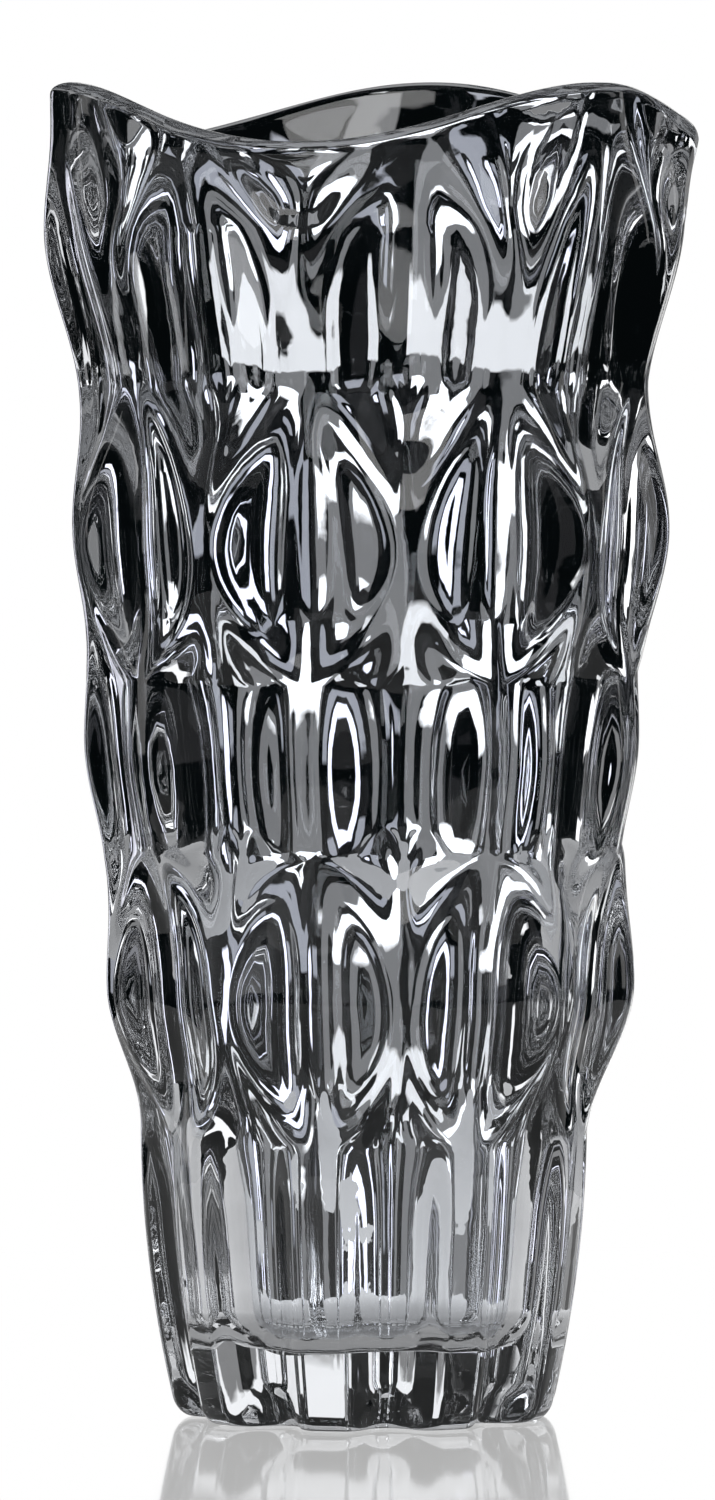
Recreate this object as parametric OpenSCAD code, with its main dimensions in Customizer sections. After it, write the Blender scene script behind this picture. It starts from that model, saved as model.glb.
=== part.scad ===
// Tall crystal vase: heavy base, nine columns of hollow lens-shaped facets and a wavy three-lobed mouth.
// The real vase is one piece of glass. Each node is a region of that piece, and regions meet face to face.
// The foot rests on z = 0 and the vase's axis is Z.

/* [Overall] */
// Height of the vase at the peaks of its rim
vase_h = 300; // [240:1:360]
// Columns of facets round the vase
columns = 9; // [9:3:12]
// Turn of the first rib column from the front
rib_turn = -12.5; // [-20:0.5:20]

/* [Ridge radii] */
// Radius of the contact ring under the foot
foot_r = 39.4; // [34:0.1:41]
// Radius that the flared foot has where its edge is rounded
flare_r = 42.7; // [42:0.1:46]
// Radius at the waist above the flutes
stem_r = 50.9; // [48:0.1:54]
// Radius at the lower belly
belly_low_r = 60.2; // [56:0.1:62]
// Radius at the waist above the lower belly
waist_low_r = 58.7; // [57:0.1:60]
// Radius at the middle belly
belly_mid_r = 63.6; // [61:0.1:66]
// Radius at the waist above the middle belly
waist_mid_r = 63.0; // [61:0.1:65]
// Radius at the upper belly
belly_top_r = 68.0; // [66:0.1:70]
// Radius at the waist above the upper belly
waist_top_r = 64.5; // [64:0.1:67]
// Radius at the shoulder
shoulder_r = 72.6; // [70:0.1:75]
// Radius just under the rim
neck_r = 71.9; // [69:0.1:74]

/* [Facets] */
// How far the middle of a wide facet lies behind its ridges
facet_depth = 6; // [3:0.5:6.5]
// How far the middle of a flute lies behind its ribs
flute_depth = 6; // [3:0.1:6.5]
// Half-width of a wide facet, in degrees
facet_half = 18.3; // [14:0.1:18.5]
// Half-width of the ribs beside the foot's flutes, in degrees
rib_half = 4.3; // [3:0.1:6]
// Half-width of the narrow necks between facets, in degrees
neck_half = 1.8; // [1.2:0.1:3]
// How far a ridge is rounded into each facet, in degrees
ridge_round = 5.5; // [1:0.5:7]
// Height of the thumbprint arch at the bottom of each flute
arch_h = 9; // [6:0.5:12]
// Depth of the thumbprint arch
arch_depth = 2.6; // [1:0.1:3]
// Half-width of the thumbprint arch, in degrees
arch_half = 9.2; // [6:0.1:12]

/* [Rim] */
// Lobes of the wavy rim
lobes = 3; // [3:3:3]
// Height from the rim's dips to its peaks
wave_h = 13; // [6:1:20]
// Angle of the first peak from the front
peak_turn = 47.5; // [0:0.5:120]
// How far the dips lean out beyond the peaks
dip_flare = 2.7; // [0:0.1:4]
// Radius of the rounded lip
lip_r = 2.2; // [1.5:0.1:2.5]

/* [Cavity] */
// Thickness of the solid base
base_t = 18; // [12:1:24]
// Radius of the cavity above its rounded floor
floor_r = 34; // [30:0.5:35]
// Radius of the cavity at the mouth
mouth_r = 65.2; // [61:0.1:65.5]
// Radius of the corner between the cavity's floor and wall
corner_r = 8; // [4:0.5:12]

/* [Hidden] */
crystal = [0.78, 0.80, 0.86, 0.55];

s = vase_h / 300;          // heights below are for a 300 mm vase
pitch = 360 / columns;
wide = facet_half * 9 / columns;
rib = rib_half * 9 / columns;
neck = neck_half * 9 / columns;
edge_h = 4.2 * s;          // height of the rounded edge under the foot

// Heights where one region ends and the next begins.
z_stem = base_t;
z_low = 66 * s;
z_mid = 121 * s;
z_top = 170 * s;
z_shoulder = 226 * s;
z_lip = 268 * s;

// Bellies and waists of the ridge lines, as [height, radius].
ridge_line = [
    [z_low, stem_r], [98 * s, belly_low_r], [120 * s, waist_low_r], [153 * s, belly_mid_r],
    [170 * s, waist_mid_r], [200 * s, belly_top_r], [227 * s, waist_top_r], [268 * s, shoulder_r],
    [288 * s, neck_r], [vase_h, neck_r + 0.4]
];

// Wide facets in the rib columns, as [low tip, widest height, high tip, low fullness, high fullness].
// A fullness of 1 gives a pointed tip, and less gives a rounder one.
rib_facets = [
    [64 * s, 92 * s, 127.4 * s, 0.8, 0.5],
    [168 * s, 196 * s, 232 * s, 0.7, 1],
    [250 * s, 312 * s, 344 * s, 2, 1]
];

// Hollows in the columns, as [low end, high end, depth as a share of facet_depth].
rib_scoops = [[62 * s, 129 * s, 1], [164 * s, 234 * s, 1], [248 * s, 344 * s, 1]];
flute_scoops = [[108 * s, 187 * s, 1], [200 * s, 296 * s, 0.8]];
flute_run_out = [[46 * s, 1], [92 * s, 0]];
end_round = 0.4;           // share of a hollow's half-length over which it eases in at each end
narrow_limit = 9;          // columns with a smaller half-width than this, in degrees, are hollowed less
rim_fade = 0.62;           // how much shallower the facets are at the rim
wall_power = 1.1;          // above 1, the cavity's wall bows slightly inward
shares_across = [-1, -0.8, -0.4, 0, 0.4, 0.8];     // points across a column, as shares of its half-width

// Value at height z of a line through [height, value] stations, with smooth turns at each station.
function eased(line, z, i = 0) =
    z <= line[0][0] ? line[0][1] :
    i >= len(line) - 1 ? line[len(line) - 1][1] :
    z > line[i + 1][0] ? eased(line, z, i + 1) :
    let (t = (z - line[i][0]) / (line[i + 1][0] - line[i][0]))
    line[i][1] + (line[i + 1][1] - line[i][1]) * (1 - cos(180 * t)) / 2;

function clamp(v, low, high) = max(low, min(high, v));

// Radius of the ridges at height z: a flared foot with a rounded edge, then bellies and waists.
function flare(z) = stem_r - (stem_r - flare_r) * pow((z_low - z) / z_low, 2);
function edge_drop(z) = (flare_r - foot_r) * (1 - sqrt(1 - pow(clamp((edge_h - z) / edge_h, 0, 1), 2)));
function ridge_r(z) = z < z_low ? flare(z) - edge_drop(z) : eased(ridge_line, z);

// Half-width in degrees of the rib columns at height z. The columns between them fill the rest of the pitch.
function facet_share(f, z) =
    z <= f[0] || z >= f[2] ? 0 :
    z < f[1] ? pow(sin(90 * (z - f[0]) / (f[1] - f[0])), f[3]) :
    pow(sin(90 * (f[2] - z) / (f[2] - f[1])), f[4]);
function narrow_half(z) =
    z < 92 * s ? rib :
    eased([[92 * s, rib], [127 * s, neck], [165 * s, neck], [232 * s, rib]], z);
function rib_column_half(z) =
    let (share = max([for (f = rib_facets) facet_share(f, z)]), low = narrow_half(z))
    low + (wide - low) * share;

// Rim height and outward lean at angle a.
function wave(a) = (1 - cos(lobes * (a - peak_turn))) / 2;
function rim_z(a) = vase_h - wave_h * wave(a);
function lean(a, t) = dip_flare * wave(a) * pow(t, 1.5);

// Thumbprint arch: a shallow dent at the bottom of a flute, d degrees from its middle line.
function arch(d, z) =
    let (u = 1 - pow(d / arch_half, 2) - pow(z / arch_h, 2))
    u > 0 ? arch_depth * sqrt(u) : 0;

// Dished section: 1 in its middle and easing to 0 at its edge, where away is 1.
function hollow(away, rounded) =
    let (bowl = 1 - away * away - rounded, brim = (1 - rounded) / rounded * pow(1 - away, 2))
    (away < 1 - rounded ? bowl : brim) / (1 - rounded);

// Depth of a column's hollow at its middle line, at height z.
function scoop_depth(z, rib_column) = max([
    rib_column ? 0 : flute_depth * eased(flute_run_out, z),
    for (f = rib_column ? rib_scoops : flute_scoops)
        facet_depth * f[2] * hollow(abs(2 * clamp((z - f[0]) / (f[1] - f[0]), 0, 1) - 1), end_round)
]);

// Outer radius at height z, d degrees from the middle of a column of the given half-width.
function outer_r(z, d, half, rib_column) =
    let (fade = 1 - rim_fade * clamp((z - z_lip) / (vase_h - z_lip), 0, 1),
         depth = scoop_depth(z, rib_column) * fade * min(half / narrow_limit, 1))
    ridge_r(z) - depth * hollow(abs(d) / half, min(ridge_round / half, 0.5));

// Cavity wall: a rounded floor corner, then a smooth cone.
function wall_r(z) =
    let (t = clamp((z - base_t) / (vase_h - base_t), 0, 1))
    floor_r + (mouth_r - floor_r) * pow(t, wall_power);
function cavity_r(z) =
    let (u = clamp((base_t + corner_r - z) / corner_r, 0, 1))
    wall_r(z) - corner_r * (1 - sqrt(1 - u * u));

// Points round the vase, as [angle, degrees from the column's middle, half-width, is it a rib column].
function around(z) = [
    for (k = [0:columns - 1], rib_column = [true, false])
        let (half = rib_column ? rib_column_half(z) : pitch / 2 - rib_column_half(z),
             middle = rib_turn + k * pitch + (rib_column ? 0 : pitch / 2))
        for (share = shares_across) [middle + share * half, share * half, half, rib_column]
];

// Angle a is counted from the front, -Y, towards +X.
function place(r, a, z) = [r * sin(a), -r * cos(a), z];

function outer_ring(z) = [
    for (p = around(z))
        place(outer_r(z, p[1], p[2], p[3]) - (p[3] ? 0 : arch(p[1], z)), p[0], z)
];
function cavity_ring(z) = [for (p = around(z)) place(cavity_r(z), p[0], z)];

// Closed skin through equal rings of points, from the bottom of the inside, up and over to the outside.
module skin(rings) {
    n = len(rings[0]);
    last = len(rings) - 1;
    polyhedron(
        points = [for (ring = rings) each ring],
        faces = [
            for (i = [0:last], k = [0:n - 1], half = [0, 1])
                let (a = i * n + k, b = i * n + (k + 1) % n,
                     c = (i + 1) % (last + 1) * n + (k + 1) % n, d = (i + 1) % (last + 1) * n + k)
                half == 0 ? [a, c, b] : [a, d, c]
        ]
    );
}

// Evenly spaced heights from low to high.
function levels(low, high, count) = [for (i = [0:count]) low + (high - low) * i / count];
function reversed(list) = [for (i = [len(list) - 1:-1:0]) list[i]];

// Ring-shaped region of the wall between two heights.
module band(low, high, outer_steps, inner_steps) {
    skin([
        for (z = levels(low, high, inner_steps)) cavity_ring(z),
        for (z = reversed(levels(low, high, outer_steps))) outer_ring(z)
    ]);
}

// Solid disc under the cavity, with the fluted edge and the thumbprint arches.
module foot() {
    heights = [0, 0.18 * edge_h, 0.5 * edge_h, edge_h, 0.75 * arch_h, arch_h, 0.75 * z_stem, z_stem];
    n = len(around(0));
    last = len(heights) - 1;
    color(crystal)
    polyhedron(
        points = concat([for (z = heights) each outer_ring(z)], [[0, 0, 0], [0, 0, z_stem]]),
        faces = concat(
            [for (i = [0:last - 1], k = [0:n - 1], half = [0, 1])
                let (a = i * n + k, b = i * n + (k + 1) % n)
                half == 0 ? [a, b + n, b] : [a, a + n, b + n]],
            [for (k = [0:n - 1]) [k, (k + 1) % n, (last + 1) * n]],
            [for (k = [0:n - 1]) [last * n + (k + 1) % n, last * n + k, (last + 1) * n + 1]]
        )
    );
}

module fluted_stem() color(crystal) {
    skin([
        for (u = [0, 0.14, 0.5, 1]) cavity_ring(z_stem + u * corner_r),
        cavity_ring(z_low),
        for (z = reversed(levels(z_stem, z_low, 5))) outer_ring(z)
    ]);
}

module lower_facet_band() color(crystal) band(z_low, z_mid, 11, 2);

module middle_facet_band() color(crystal) band(z_mid, z_top, 8, 2);

module upper_facet_band() color(crystal) band(z_top, z_shoulder, 10, 2);

module shoulder() color(crystal) band(z_shoulder, z_lip, 7, 2);

// Top region, from the shoulder to the rounded wavy rim.
module wavy_lip() {
    // Ring at share t of the way up to the rim, on the outer or the cavity side, drawn in by lip rounding.
    function lip_ring(t, outside, inset) = [
        for (p = around(z_lip + t * (vase_h - z_lip)))
            let (crown = t == 1 ? lip_r * sin(acos(1 - inset / lip_r)) : 0,
                 z = z_lip + t * (rim_z(p[0]) - z_lip - lip_r) + crown,
                 flat_z = z_lip + t * (vase_h - z_lip),
                 r = outside ? outer_r(flat_z, p[1], p[2], p[3]) - inset : cavity_r(flat_z) + inset)
            place(r + lean(p[0], t), p[0], z)
    ];
    color(crystal) skin([
        for (t = levels(0, 1, 3)) lip_ring(t, false, 0),
        lip_ring(1, false, 0.3 * lip_r), lip_ring(1, false, lip_r),
        lip_ring(1, true, lip_r), lip_ring(1, true, 0.3 * lip_r),
        for (t = reversed(levels(0, 1, 5))) lip_ring(t, true, 0)
    ]);
}

foot();
fluted_stem();
lower_facet_band();
middle_facet_band();
upper_facet_band();
shoulder();
wavy_lip();
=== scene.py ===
# A tall clear crystal vase on a glossy white table, lit for dark-edged glass.
from math import pi

import bpy
import numpy as np
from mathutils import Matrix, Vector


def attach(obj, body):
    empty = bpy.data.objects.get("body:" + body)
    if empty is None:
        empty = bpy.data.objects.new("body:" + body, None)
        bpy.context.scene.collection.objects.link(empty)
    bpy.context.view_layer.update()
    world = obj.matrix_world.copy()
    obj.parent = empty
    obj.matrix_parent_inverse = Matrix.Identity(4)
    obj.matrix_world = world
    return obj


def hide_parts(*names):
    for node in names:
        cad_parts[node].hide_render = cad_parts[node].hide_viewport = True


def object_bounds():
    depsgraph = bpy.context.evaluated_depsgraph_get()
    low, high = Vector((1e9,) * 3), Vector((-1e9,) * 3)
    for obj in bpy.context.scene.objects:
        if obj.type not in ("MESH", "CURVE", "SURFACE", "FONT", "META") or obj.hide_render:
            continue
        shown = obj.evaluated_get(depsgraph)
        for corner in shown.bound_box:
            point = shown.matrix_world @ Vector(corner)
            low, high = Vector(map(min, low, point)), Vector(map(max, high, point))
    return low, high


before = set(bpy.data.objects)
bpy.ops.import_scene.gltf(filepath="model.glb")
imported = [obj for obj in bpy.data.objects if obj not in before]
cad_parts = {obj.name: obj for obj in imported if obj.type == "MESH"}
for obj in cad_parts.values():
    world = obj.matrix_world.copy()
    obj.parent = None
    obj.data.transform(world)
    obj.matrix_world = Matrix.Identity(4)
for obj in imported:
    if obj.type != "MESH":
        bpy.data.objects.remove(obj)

mm = 0.001
hair = 1e-6                    # smaller than anything in the vase
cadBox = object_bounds()
print("frame loaded:", sorted(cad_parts))


def linear(code):                                   # sRGB hex to the linear colour that shaders take
    parts = [int(code[i:i + 2], 16) / 255 for i in (1, 3, 5)]
    return [p / 12.92 if p <= 0.04045 else ((p + 0.055) / 1.055) ** 2.4 for p in parts] + [1.0]


# inputs maps a socket's name or number to a value or to another node's output.
def addNode(tree, kind, inputs=None, **settings):
    node = tree.nodes.new(kind)
    for name, value in settings.items():
        setattr(node, name, value)
    for key, value in (inputs or {}).items():
        if isinstance(value, bpy.types.NodeSocket):
            tree.links.new(value, node.inputs[key])
        else:
            node.inputs[key].default_value = value
    return node


def newTree(owner):
    owner.use_nodes = True
    owner.node_tree.nodes.clear()
    return owner.node_tree


vase = {                       # lengths in millimetres, angles in degrees
    "columns": 9,              # columns of facets; each has one rib column and one flute column
    "ribTurn": -12.5,          # the first rib column, counted from the front towards +X
    "facetDepth": 6.0,         # how far a wide facet's middle lies behind its ridges
    "facetHalf": 18.3,         # half-width of a wide facet
    "ribHalf": 4.3,            # half-width of the ribs beside the foot's flutes
    "neckHalf": 1.8,           # half-width of the necks between facets
    "narrowHeights": (92, 127, 165, 232),      # rib ends, neck starts, neck ends, rib starts again
    "stemHeight": 66,          # top of the flared foot
    "stemRadius": 50.9,
    "flareRadius": 42.7,       # the flared foot just above its rounded edge
    "footRadius": 39.4,        # the ring it stands on
    "edgeHeight": 4.2,         # height of that rounded edge
    "ridgeLine": [             # bellies and waists of the ridges, as height and radius
        (65, 50.9), (98, 60.2), (120, 58.7), (153, 63.6), (170, 63.0),
        (200, 68.0), (227, 64.5), (268, 72.6), (288, 71.9), (300, 72.3),
    ],
    "ribFacets": [             # low tip, widest height, high tip, low fullness, high fullness
        (64, 92, 127.4, 0.8, 0.5), (168, 196, 232, 0.7, 1.0), (250, 312, 344, 2.0, 1.0),
    ],
    "archHeight": 9.0, "archDepth": 2.6, "archHalf": 9.2,      # thumbprint arches round the foot
    "scoops": [                # hollows: on a rib column, low end, high end, share of facetDepth
        (True, 62, 129, 1.0), (True, 164, 234, 1.0), (True, 248, 344, 1.0),
        (False, 108, 187, 1.0), (False, 200, 296, 0.8),
    ],
    "fluteDepth": 6.0, "fluteFade": 46, "fluteTop": 92,      # the foot's flutes, and where they run out
    "lipStart": 268, "lipHeight": 2.2,
    "lobes": 3, "waveHeight": 13.0, "peakTurn": 47.5,          # the wavy rim
    "dipFlare": 2.7, "flareCurve": 1.5,        # how far the rim's dips lean out, and how late
    "baseThickness": 18.0, "floorRadius": 34.0, "cornerRadius": 8.0,       # the cavity
    "mouthRadius": 65.2, "wallCurve": 1.1,
    "rimFade": 0.62,           # facets grow this much shallower up to the rim
    "ridgeRounding": 5.5,      # how far polishing rounds a ridge into each facet, in degrees
    "mostRounding": 0.5,       # but no more than this share of the column's half-width
    "endRounding": 0.4,        # how much of a facet's half-length eases in at each end
    "narrowLimit": 9.0,        # columns with a smaller half-width than this are hollowed less
}
meshSteps = {                  # rings in each part of the section, and steps across each column
    "under": 8, "edge": 8, "outside": 168, "lip": 12, "inside": 50, "corner": 9, "floor": 7,
    "across": 20, "ridgeCrowding": 0.7,        # how strongly those steps crowd towards the ridges
}
vaseHeight = cadBox[1][2] / mm
pitch = 360 / vase["columns"]


def eased(line, z):                                 # smooth turns at each station of the line
    heights, values = np.array(line, float).T
    i = np.clip(np.searchsorted(heights, z) - 1, 0, len(heights) - 2)
    t = np.clip((z - heights[i]) / (heights[i + 1] - heights[i]), 0, 1)
    return values[i] + (values[i + 1] - values[i]) * (1 - np.cos(pi * t)) / 2


def ridgeRadius(z):
    stem, flare, edge = vase["stemHeight"], vase["flareRadius"], vase["edgeHeight"]
    foot = vase["stemRadius"] - (vase["stemRadius"] - flare) * ((stem - z) / stem) ** 2
    u = np.clip((edge - z) / edge, 0, 1)
    foot = foot - (flare - vase["footRadius"]) * (1 - np.sqrt(1 - u * u))
    return np.where(z < vase["ridgeLine"][0][0], foot, eased(vase["ridgeLine"], z))


def ribColumnHalf(z):                               # half-width of the rib columns, in degrees
    share = np.zeros_like(z)
    for low, widest, high, lowFull, highFull in vase["ribFacets"]:
        up = np.sin(pi / 2 * np.clip((z - low) / (widest - low), 0, 1)) ** lowFull
        down = np.sin(pi / 2 * np.clip((high - z) / (high - widest), 0, 1)) ** highFull
        share = np.maximum(share, np.where(z < widest, up, down))
    rib, neck, heights = vase["ribHalf"], vase["neckHalf"], vase["narrowHeights"]
    narrow = np.where(z < heights[0], rib, eased(list(zip(heights, (rib, neck, neck, rib))), z))
    return narrow + (vase["facetHalf"] - narrow) * share


def hollow(away, rounded):                          # a dished section: 1 in its middle, 0 at its edge
    bowl = 1 - away ** 2 - rounded
    brim = (1 - rounded) / rounded * (1 - away) ** 2
    return np.where(away < 1 - rounded, bowl, brim) / (1 - rounded)


def scoopDepth(isRib, z):                           # depth of the column's hollow at its middle
    depth = np.zeros_like(z)
    for onRib, low, high, share in vase["scoops"]:
        away = np.abs(2 * np.clip((z - low) / (high - low), 0, 1) - 1)
        depth = np.maximum(depth, np.where(isRib == onRib, share * hollow(away, vase["endRounding"]), 0))
    flute = vase["fluteDepth"] * eased([(vase["fluteFade"], 1), (vase["fluteTop"], 0)], z)
    return np.maximum(vase["facetDepth"] * depth, np.where(isRib, 0, flute))


def wave(a):                                        # 0 at the rim's peaks, 1 in its dips
    return (1 - np.cos(np.radians(vase["lobes"] * (a - vase["peakTurn"])))) / 2


def archDent(d, z):                                 # depth of a thumbprint arch, d degrees from its middle
    u = 1 - (d / vase["archHalf"]) ** 2 - (z / vase["archHeight"]) ** 2
    return vase["archDepth"] * np.sqrt(np.clip(u, 0, 1))


def cavityRadius(z):
    base, corner = vase["baseThickness"], vase["cornerRadius"]
    t = np.clip((z - base) / (vaseHeight - base), 0, 1)
    u = np.clip((base + corner - z) / corner, 0, 1)
    wall = vase["floorRadius"] + (vase["mouthRadius"] - vase["floorRadius"]) * t ** vase["wallCurve"]
    return wall - corner * (1 - np.sqrt(1 - u * u))


def riseShare(z):                                   # 0 up to the lip region, 1 at the rim
    return np.clip((z - vase["lipStart"]) / (vaseHeight - vase["lipStart"]), 0, 1)


def mouldPoint(blankAngle, z):                      # where the mould's wall is: angle, radius
    strip = np.floor(blankAngle / (pitch / 2) + hair).astype(int)
    isRib = strip % 2 == 0
    ribHalf = ribColumnHalf(z)
    half = np.where(isRib, ribHalf, pitch / 2 - ribHalf)
    across = 2 * (blankAngle / (pitch / 2) - strip) - 1
    crowding = meshSteps["ridgeCrowding"]
    across = (1 - crowding) * across + crowding * np.sin(pi / 2 * across)
    d = across * half
    angle = vase["ribTurn"] + strip * pitch / 2 + d
    depth = scoopDepth(isRib, z) * (1 - vase["rimFade"] * riseShare(z)) * np.clip(
        half / vase["narrowLimit"], 0, 1)
    rounded = np.clip(vase["ridgeRounding"] / half, 0, vase["mostRounding"])
    radius = ridgeRadius(z) - depth * hollow(np.abs(d) / half, rounded)
    return angle, radius - np.where(isRib, 0, archDent(d, z))


def rimLift(angle, z):                              # the top region's height and lean follow the wavy rim
    rise = riseShare(z)
    top = vaseHeight - vase["waveHeight"] * wave(angle) - vase["lipHeight"]
    lifted = vase["lipStart"] + rise * (top - vase["lipStart"])
    lean = vase["dipFlare"] * wave(angle) * rise ** vase["flareCurve"]
    return np.where(z > vase["lipStart"], lifted, z), lean


def makeGlass():
    edge, base, corner = vase["edgeHeight"], vase["baseThickness"], vase["cornerRadius"]
    under = np.linspace(0, 1, meshSteps["under"] + 1)[:-1]        # shares of the foot's radius
    outer = np.concatenate([edge * (1 - np.cos(np.linspace(0, pi / 2, meshSteps["edge"] + 1)))[:-1],
                            np.linspace(edge, vaseHeight, meshSteps["outside"])])
    lip = np.linspace(0, pi, meshSteps["lip"] + 2)[1:-1]          # turn over the lip, in radians
    cornerTurn = np.linspace(0, pi / 2, meshSteps["corner"] + 1)[1:]
    inner = np.concatenate([np.linspace(vaseHeight, base + corner, meshSteps["inside"]),
                            base + corner * (1 - np.sin(cornerTurn))])
    floor = np.linspace(1, 0, meshSteps["floor"] + 1)[1:]         # shares of the cavity floor's radius
    counts = [len(under), len(outer), len(lip), len(inner), len(floor)]
    rings, columns = sum(counts), vase["columns"] * 2 * meshSteps["across"]

    bpy.ops.object.select_all(action="DESELECT")
    bpy.ops.mesh.primitive_grid_add(x_subdivisions=columns, y_subdivisions=rings - 1, size=2)
    glass = bpy.context.object
    glass.name = "glass_vase"
    mesh = glass.data
    co = np.empty(len(mesh.vertices) * 3)
    mesh.vertices.foreach_get("co", co)
    x, y, z = co.reshape(-1, 3).T
    ring = np.round((y + 1) / 2 * (rings - 1)).astype(int)        # the sheet's length is the section
    blank = np.round((x + 1) / 2 * columns) % columns * 360 / columns     # and its width goes round

    starts = np.concatenate([[0], np.cumsum(counts)])
    part = np.searchsorted(starts, ring, side="right") - 1
    parts = [part == i for i in range(len(counts))]               # under, outer, lip, inner, floor
    onUnder, onOuter, onLip = parts[:3]
    at = [np.clip(ring - s, 0, n - 1) for s, n in zip(starts, counts)]

    level = np.select(parts, [0 * z, outer[at[1]], 0 * z + vaseHeight, inner[at[3]], 0 * z + base])
    turnLevel = np.where(onUnder | onOuter, level, vaseHeight)    # the cavity keeps the rim's columns
    angle, radius = mouldPoint(blank, turnLevel)
    height, lean = rimLift(angle, level)
    wallRadius = cavityRadius(level)
    theta = lip[at[2]]
    middle, halfLip = (radius + wallRadius) / 2, (radius - wallRadius) / 2
    radius = np.select(parts, [radius * under[at[0]], radius, middle + halfLip * np.cos(theta),
                               wallRadius, cavityRadius(0 * z + base) * floor[at[4]]]) + lean
    height = height + np.where(onLip, vase["lipHeight"] * np.sin(theta), 0)
    turn = np.radians(angle)
    co = np.stack([radius * np.sin(turn), -radius * np.cos(turn), height], 1) * mm
    mesh.vertices.foreach_set("co", co.ravel())
    mesh.update()

    bpy.ops.object.mode_set(mode="EDIT")
    bpy.ops.mesh.select_all(action="SELECT")
    bpy.ops.mesh.remove_doubles(threshold=hair)                   # closes the seam and the poles
    bpy.ops.mesh.normals_make_consistent(inside=False)
    bpy.ops.object.mode_set(mode="OBJECT")
    bpy.ops.object.shade_smooth()
    print("glass pressed:", rings, "rings,", len(mesh.polygons), "faces")
    return glass


# Clear lead-free crystal, pressed in a mould and fire-polished: mirror-smooth, very slightly wavy,
# faintly grey-blue where it is thick.
crystalLook = {
    "ior": 1.52,
    "tint": "#f7f9fc",
    "deepTint": "#c4c6ca",
    "absorption": 3.0,         # per metre
    "waveSize": 9.0,           # millimetres between the slow waves left by the mould
    "waveDepth": 0.05,         # millimetres
    "waveDetail": 2.0, "waveRoughness": 0.5,
}


def crystalMaterial():
    look = crystalLook
    material = bpy.data.materials.new("pressedCrystal")
    tree = newTree(material)
    place = addNode(tree, "ShaderNodeTexCoord")
    waves = addNode(tree, "ShaderNodeTexNoise", {
        "Vector": place.outputs["Object"], "Scale": 1 / (look["waveSize"] * mm),
        "Detail": look["waveDetail"], "Roughness": look["waveRoughness"]})
    bump = addNode(tree, "ShaderNodeBump", {
        "Strength": 1.0, "Distance": look["waveDepth"] * mm, "Height": waves.outputs[0]})
    glass = addNode(tree, "ShaderNodeBsdfPrincipled", {
        "Base Color": linear(look["tint"]), "Roughness": 0.0, "IOR": look["ior"],
        "Transmission Weight": 1.0, "Normal": bump.outputs[0]})
    depth = addNode(tree, "ShaderNodeVolumeAbsorption", {
        "Color": linear(look["deepTint"]), "Density": look["absorption"]})
    addNode(tree, "ShaderNodeOutputMaterial", {"Surface": glass.outputs[0], "Volume": depth.outputs[0]})
    return material


glassVase = makeGlass()
glassVase.data.materials.clear()
glassVase.data.materials.append(crystalMaterial())
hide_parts("foot", "fluted_stem", "lower_facet_band", "middle_facet_band",
            "upper_facet_band", "shoulder", "wavy_lip")
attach(glassVase, "root")


studio = {                     # staging, which is not part of the vase
    "tableRadius": 0.45, "tableSides": 96, "tableGap": 0.4 * mm,
    "tableIor": 1.5, "tableRoughness": 0.06,
    "tableShadeThroughGlass": 0.30,      # painted shade: how bright the table glows for rays that reach it through or off the glass, dimmer than the camera sees it, standing in for its shade near the vase
    "room": "#050809",         # the unlit studio round the lights
    "panelEdge": 0.4,          # how far the panels' edges blur either way, in degrees
    # Panels: azimuth from straight behind the vase, elevation, half-width, half-height, colour, power.
    "lights": [
        (14, 9, 16, 3.5, "#ffffff", 1.1), (12, -1, 8, 7, "#8a8a8a", 1.0), (20, -11, 12, 5, "#ffffff", 1.8),
        (-12, -9, 5, 5, "#b3b5bd", 1.0), (-24, -3, 3.5, 8, "#e4e5f2", 2.2),
        (-75, 8, 3, 14, "#ffffff", 1.2), (75, 5, 3, 14, "#ffffff", 1.2), (183, 26, 24, 10, "#ffffff", 3.2),
        (137, -5, 14, 7, "#a8a8ac", 0.8), (-137, -5, 14, 7, "#a8a8ac", 0.8),
    ],
}


def makeTable():
    bpy.ops.object.select_all(action="DESELECT")
    bpy.ops.mesh.primitive_circle_add(vertices=studio["tableSides"], radius=studio["tableRadius"],
                                      fill_type="NGON", location=(0, 0, -studio["tableGap"]))
    table = bpy.context.object
    table.name = "table"
    material = bpy.data.materials.new("glossyWhiteTable")
    tree = newTree(material)
    facing = addNode(tree, "ShaderNodeFresnel", {"IOR": studio["tableIor"]})
    path = addNode(tree, "ShaderNodeLightPath")
    # painted shade: the table glows full white to the camera but dimmer through or off the glass, standing
    # in for its shade near the vase
    power = addNode(tree, "ShaderNodeMapRange", {
        "Value": path.outputs["Is Camera Ray"], "To Min": studio["tableShadeThroughGlass"], "To Max": 1.0})
    white = addNode(tree, "ShaderNodeEmission", {"Color": (1, 1, 1, 1), "Strength": power.outputs[0]})
    gloss = addNode(tree, "ShaderNodeBsdfGlossy", {
        "Color": (1, 1, 1, 1), "Roughness": studio["tableRoughness"]})
    both = addNode(tree, "ShaderNodeMixShader", {
        0: facing.outputs[0], 1: white.outputs[0], 2: gloss.outputs[0]})
    addNode(tree, "ShaderNodeOutputMaterial", {"Surface": both.outputs[0]})
    table.data.materials.append(material)


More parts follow.
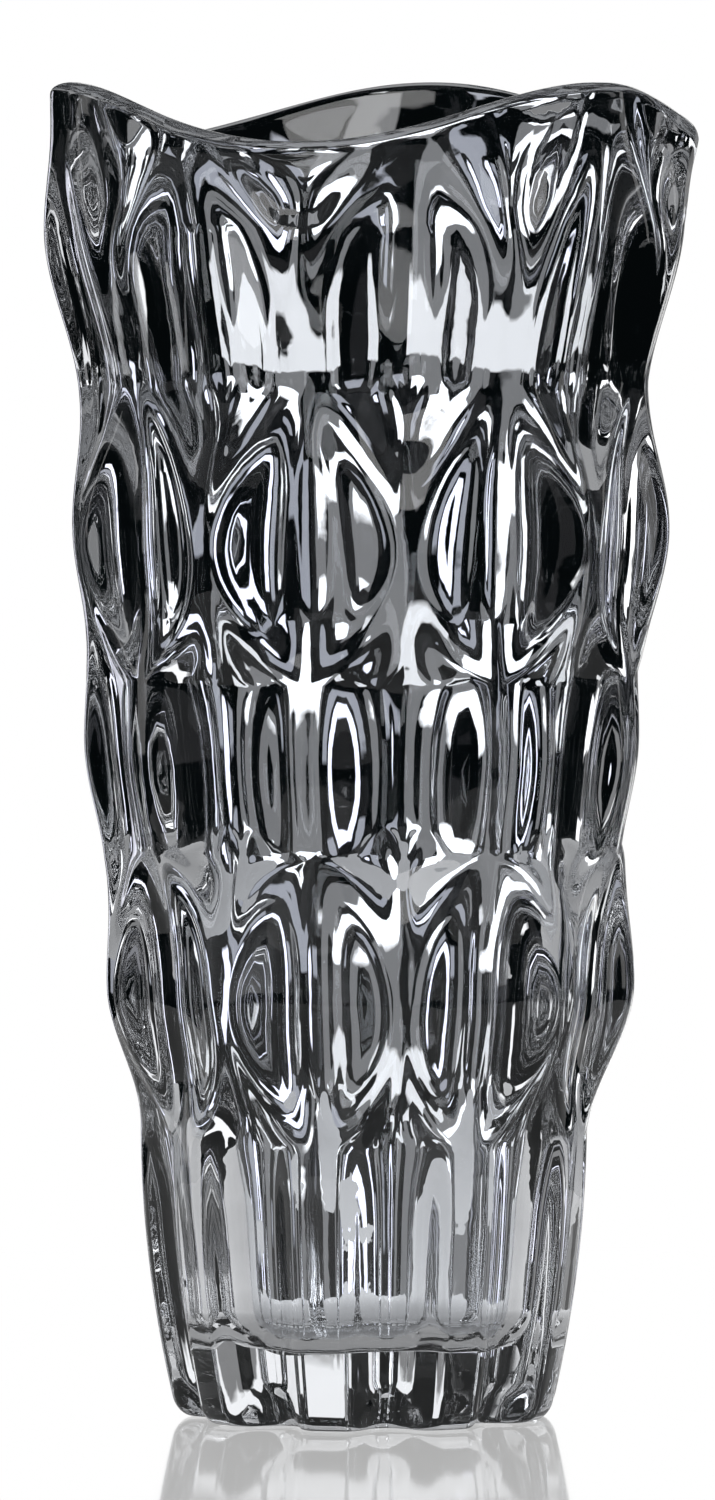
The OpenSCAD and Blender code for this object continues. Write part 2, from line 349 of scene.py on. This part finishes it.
def makeStudioLight():
    world = bpy.data.worlds.new("studio")
    bpy.context.scene.world = world
    tree = newTree(world)

    def maths(operation, a, b=0.0, c=0.0):
        return addNode(tree, "ShaderNodeMath", {0: a, 1: b, 2: c}, operation=operation).outputs[0]

    def within(value, middle, half, wrap):           # 1 near middle, falling softly to 0 at half-width
        away = maths("SUBTRACT", value, middle)
        if wrap:
            away = maths("WRAP", away, 180.0, -180.0)
        away, edge = maths("ABSOLUTE", away), studio["panelEdge"]
        return addNode(tree, "ShaderNodeMapRange", {
            "Value": away, "From Min": half + edge, "From Max": half - edge}).outputs[0]

    toward = addNode(tree, "ShaderNodeTexCoord").outputs["Generated"]
    split = addNode(tree, "ShaderNodeSeparateXYZ", {0: toward})
    around = maths("DEGREES", maths("ARCTAN2", split.outputs[0], split.outputs[1]))
    upward = maths("DEGREES", maths("ARCSINE", split.outputs[2]))
    light = linear(studio["room"])
    for azimuth, elevation, halfWidth, halfHeight, colour, power in studio["lights"]:
        inside = maths("MULTIPLY", within(around, azimuth, halfWidth, True),
                       within(upward, elevation, halfHeight, False))
        glow = [power * c for c in linear(colour)[:3]] + [1.0]
        light = addNode(tree, "ShaderNodeMix", {0: inside, 6: light, 7: glow}, data_type="RGBA").outputs[2]
    room = addNode(tree, "ShaderNodeBackground", {"Color": light, "Strength": 1.0})
    paper = addNode(tree, "ShaderNodeBackground", {"Color": (1, 1, 1, 1), "Strength": 1.0})
    path = addNode(tree, "ShaderNodeLightPath")
    offTable = maths("MULTIPLY", path.outputs["Is Glossy Ray"],
                     maths("SUBTRACT", 1.0, path.outputs["Is Singular Ray"]))
    seen = maths("MAXIMUM", path.outputs["Is Camera Ray"], offTable)
    both = addNode(tree, "ShaderNodeMixShader", {0: seen, 1: room.outputs[0], 2: paper.outputs[0]})
    addNode(tree, "ShaderNodeOutputWorld", {"Surface": both.outputs[0]})


view = {
    "distance": 3.1, "height": 0.300, "aimHeight": 0.150, "aimSide": -0.0021,
    "coverHeight": 0.3369,     # how much of the vase's plane the frame's height takes in
    "sensor": 36, "clipEnd": 50,
}


def makeCamera():
    camera = bpy.data.objects.new("camera", bpy.data.cameras.new("camera"))
    bpy.context.scene.collection.objects.link(camera)
    camera.data.sensor_width = view["sensor"]
    camera.data.lens = view["sensor"] * view["distance"] / view["coverHeight"]
    camera.data.clip_end = view["clipEnd"]
    drop = np.arctan2(view["height"] - view["aimHeight"], view["distance"])
    camera.location = (view["aimSide"], -view["distance"], view["height"])
    camera.rotation_euler = (pi / 2 - drop, 0, 0)
    bpy.context.scene.camera = camera


makeTable()
makeStudioLight()
makeCamera()
glassBounces, glossBounces = 32, 12        # light crosses many faces before it leaves the glass
scene = bpy.context.scene
scene.view_settings.view_transform = "Standard"
scene.cycles.max_bounces = glassBounces
scene.cycles.transmission_bounces = glassBounces
scene.cycles.glossy_bounces = glossBounces
scene.cycles.caustics_reflective = True
scene.cycles.caustics_refractive = True
print("studio ready")
